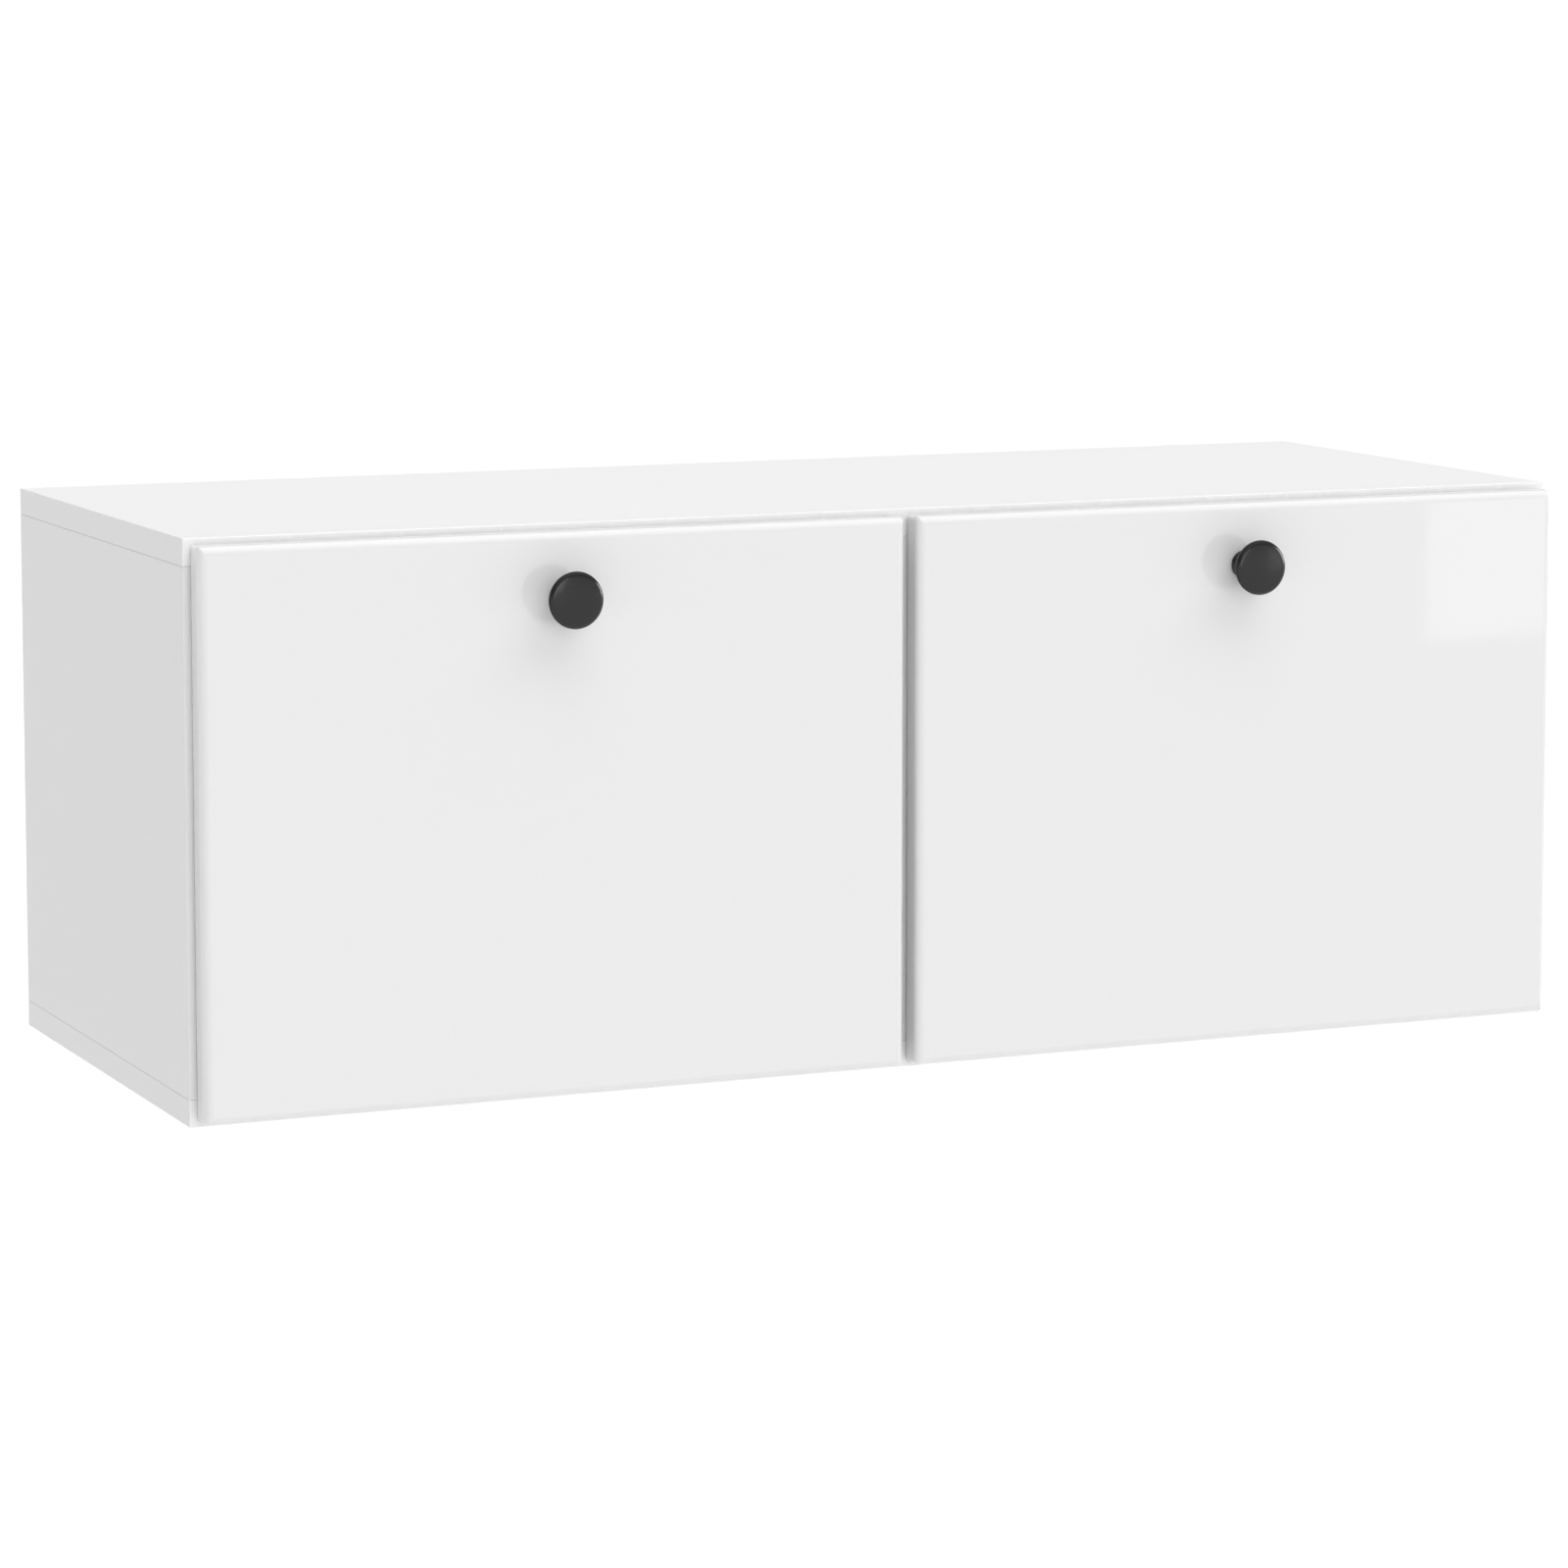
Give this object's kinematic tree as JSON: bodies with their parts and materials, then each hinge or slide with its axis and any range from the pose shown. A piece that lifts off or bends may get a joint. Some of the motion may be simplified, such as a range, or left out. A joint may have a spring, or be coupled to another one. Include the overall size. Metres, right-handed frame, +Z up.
{
  "type": "hanging wall cabinet",
  "caption": "White wall-hung cabinet with side-by-side compartments, drop-down doors, round knobs, sliding stays and wall hangers.",
  "frame": {"origin": "on the wall plane, at the middle of the centre partition's rear edge", "axes": "+Z up, +X to the right seen from the front, +Y into the wall; the doors face -Y"},
  "size_m": [1, 0.4285, 0.38],
  "materials": {
    "carcass_board": "satin white melamine on board",
    "door_lacquer": "high-gloss white lacquer on board",
    "back_board": "white-faced hardboard",
    "black_satin": "satin black",
    "nickel_steel": "nickel plated",
    "zinc_steel": "bright zinc plated",
    "grey_plastic": "grey moulded plastic",
    "white_plastic": "white moulded plastic",
    "magnet_ferrite": "dark ferrite",
    "clear_rubber": "clear soft bumper"
  },
  "bodies": {
    "cabinet": {"top_panel": "carcass_board", "bottom_panel": "carcass_board", "centre_partition": "carcass_board", "left_side_panel": "carcass_board", "left_back_panel": "back_board", "left_outer_hinge_arm": "nickel_steel", "left_outer_hinge_plate": "nickel_steel", "left_inner_hinge_arm": "nickel_steel", "left_inner_hinge_plate": "nickel_steel", "left_stay_base": "nickel_steel", "left_hanger_housing": "white_plastic", "left_catch_housing": "white_plastic", "left_catch_magnet": "magnet_ferrite", "right_side_panel": "carcass_board", "right_back_panel": "back_board", "right_outer_hinge_arm": "nickel_steel", "right_outer_hinge_plate": "nickel_steel", "right_inner_hinge_arm": "nickel_steel", "right_inner_hinge_plate": "nickel_steel", "right_stay_base": "nickel_steel", "right_hanger_housing": "white_plastic", "right_catch_housing": "white_plastic", "right_catch_magnet": "magnet_ferrite"},
    "left_door_leaf": {"left_door": "door_lacquer", "left_knob": "black_satin", "left_knob_screw": "zinc_steel", "left_outer_hinge_cup": "nickel_steel", "left_outer_hinge_pin": "zinc_steel", "left_inner_hinge_cup": "nickel_steel", "left_inner_hinge_pin": "zinc_steel", "left_stay_bracket": "nickel_steel", "left_strike_plate": "zinc_steel", "left_outer_bumper": "clear_rubber", "left_inner_bumper": "clear_rubber"},
    "left_swivel": {"left_stay_swivel": "grey_plastic"},
    "left_rod": {"left_stay_rod": "zinc_steel"},
    "left_hook": {"left_hanger_hook": "zinc_steel", "left_wall_plate": "zinc_steel"},
    "left_height_screw": {"left_hanger_screw": "zinc_steel"},
    "right_door_leaf": {"right_door": "door_lacquer", "right_knob": "black_satin", "right_knob_screw": "zinc_steel", "right_outer_hinge_cup": "nickel_steel", "right_outer_hinge_pin": "zinc_steel", "right_inner_hinge_cup": "nickel_steel", "right_inner_hinge_pin": "zinc_steel", "right_stay_bracket": "nickel_steel", "right_strike_plate": "zinc_steel", "right_outer_bumper": "clear_rubber", "right_inner_bumper": "clear_rubber"},
    "right_swivel": {"right_stay_swivel": "grey_plastic"},
    "right_rod": {"right_stay_rod": "zinc_steel"},
    "right_hook": {"right_hanger_hook": "zinc_steel", "right_wall_plate": "zinc_steel"},
    "right_height_screw": {"right_hanger_screw": "zinc_steel"}
  },
  "joints": [
    {"name": "left_door_hinge", "type": "hinge", "parent": "cabinet", "child": "left_door_leaf", "pos_m": [-0.25, -0.391, -0.1795], "axis": [1, 0, 0], "range_deg": [0, 90]},
    {"name": "left_stay_turn", "type": "hinge", "parent": "cabinet", "child": "left_swivel", "pos_m": [-0.4681, -0.30299, -0.05804], "axis": [1, 0, 0], "range_deg": [0, 45]},
    {"name": "left_rod_turn", "type": "hinge", "parent": "left_door_leaf", "child": "left_rod", "pos_m": [-0.4681, -0.36, -0.03274], "axis": [1, 0, 0], "range_deg": [-45, 0]},
    {"name": "left_hook_height", "type": "slide", "parent": "cabinet", "child": "left_hook", "axis": [0, 0, 1], "range_m": [-0.004, 0.004]},
    {"name": "left_height_screw_turn", "type": "hinge", "parent": "cabinet", "child": "left_height_screw", "pos_m": [-0.473, -0.0645, 0.138], "axis": [0, -1, 0], "range_deg": [-720, 720]},
    {"name": "right_door_hinge", "type": "hinge", "parent": "cabinet", "child": "right_door_leaf", "pos_m": [0.25, -0.391, -0.1795], "axis": [1, 0, 0], "range_deg": [0, 90]},
    {"name": "right_stay_turn", "type": "hinge", "parent": "cabinet", "child": "right_swivel", "pos_m": [0.4681, -0.30299, -0.05804], "axis": [1, 0, 0], "range_deg": [0, 45]},
    {"name": "right_rod_turn", "type": "hinge", "parent": "right_door_leaf", "child": "right_rod", "pos_m": [0.4681, -0.36, -0.03274], "axis": [1, 0, 0], "range_deg": [-45, 0]},
    {"name": "right_hook_height", "type": "slide", "parent": "cabinet", "child": "right_hook", "axis": [0, 0, 1], "range_m": [-0.004, 0.004]},
    {"name": "right_height_screw_turn", "type": "hinge", "parent": "cabinet", "child": "right_height_screw", "pos_m": [0.473, -0.0645, 0.138], "axis": [0, -1, 0], "range_deg": [-720, 720]}
  ],
  "couplings": [
    {"joint": "left_stay_turn", "follows": "left_door_hinge", "ratio": 0.5},
    {"joint": "left_rod_turn", "follows": "left_door_hinge", "ratio": -0.5},
    {"joint": "left_height_screw_turn", "follows": "left_hook_height", "rad_per_m": 3141.6},
    {"joint": "right_stay_turn", "follows": "right_door_hinge", "ratio": 0.5},
    {"joint": "right_rod_turn", "follows": "right_door_hinge", "ratio": -0.5},
    {"joint": "right_height_screw_turn", "follows": "right_hook_height", "rad_per_m": 3141.6}
  ]
}
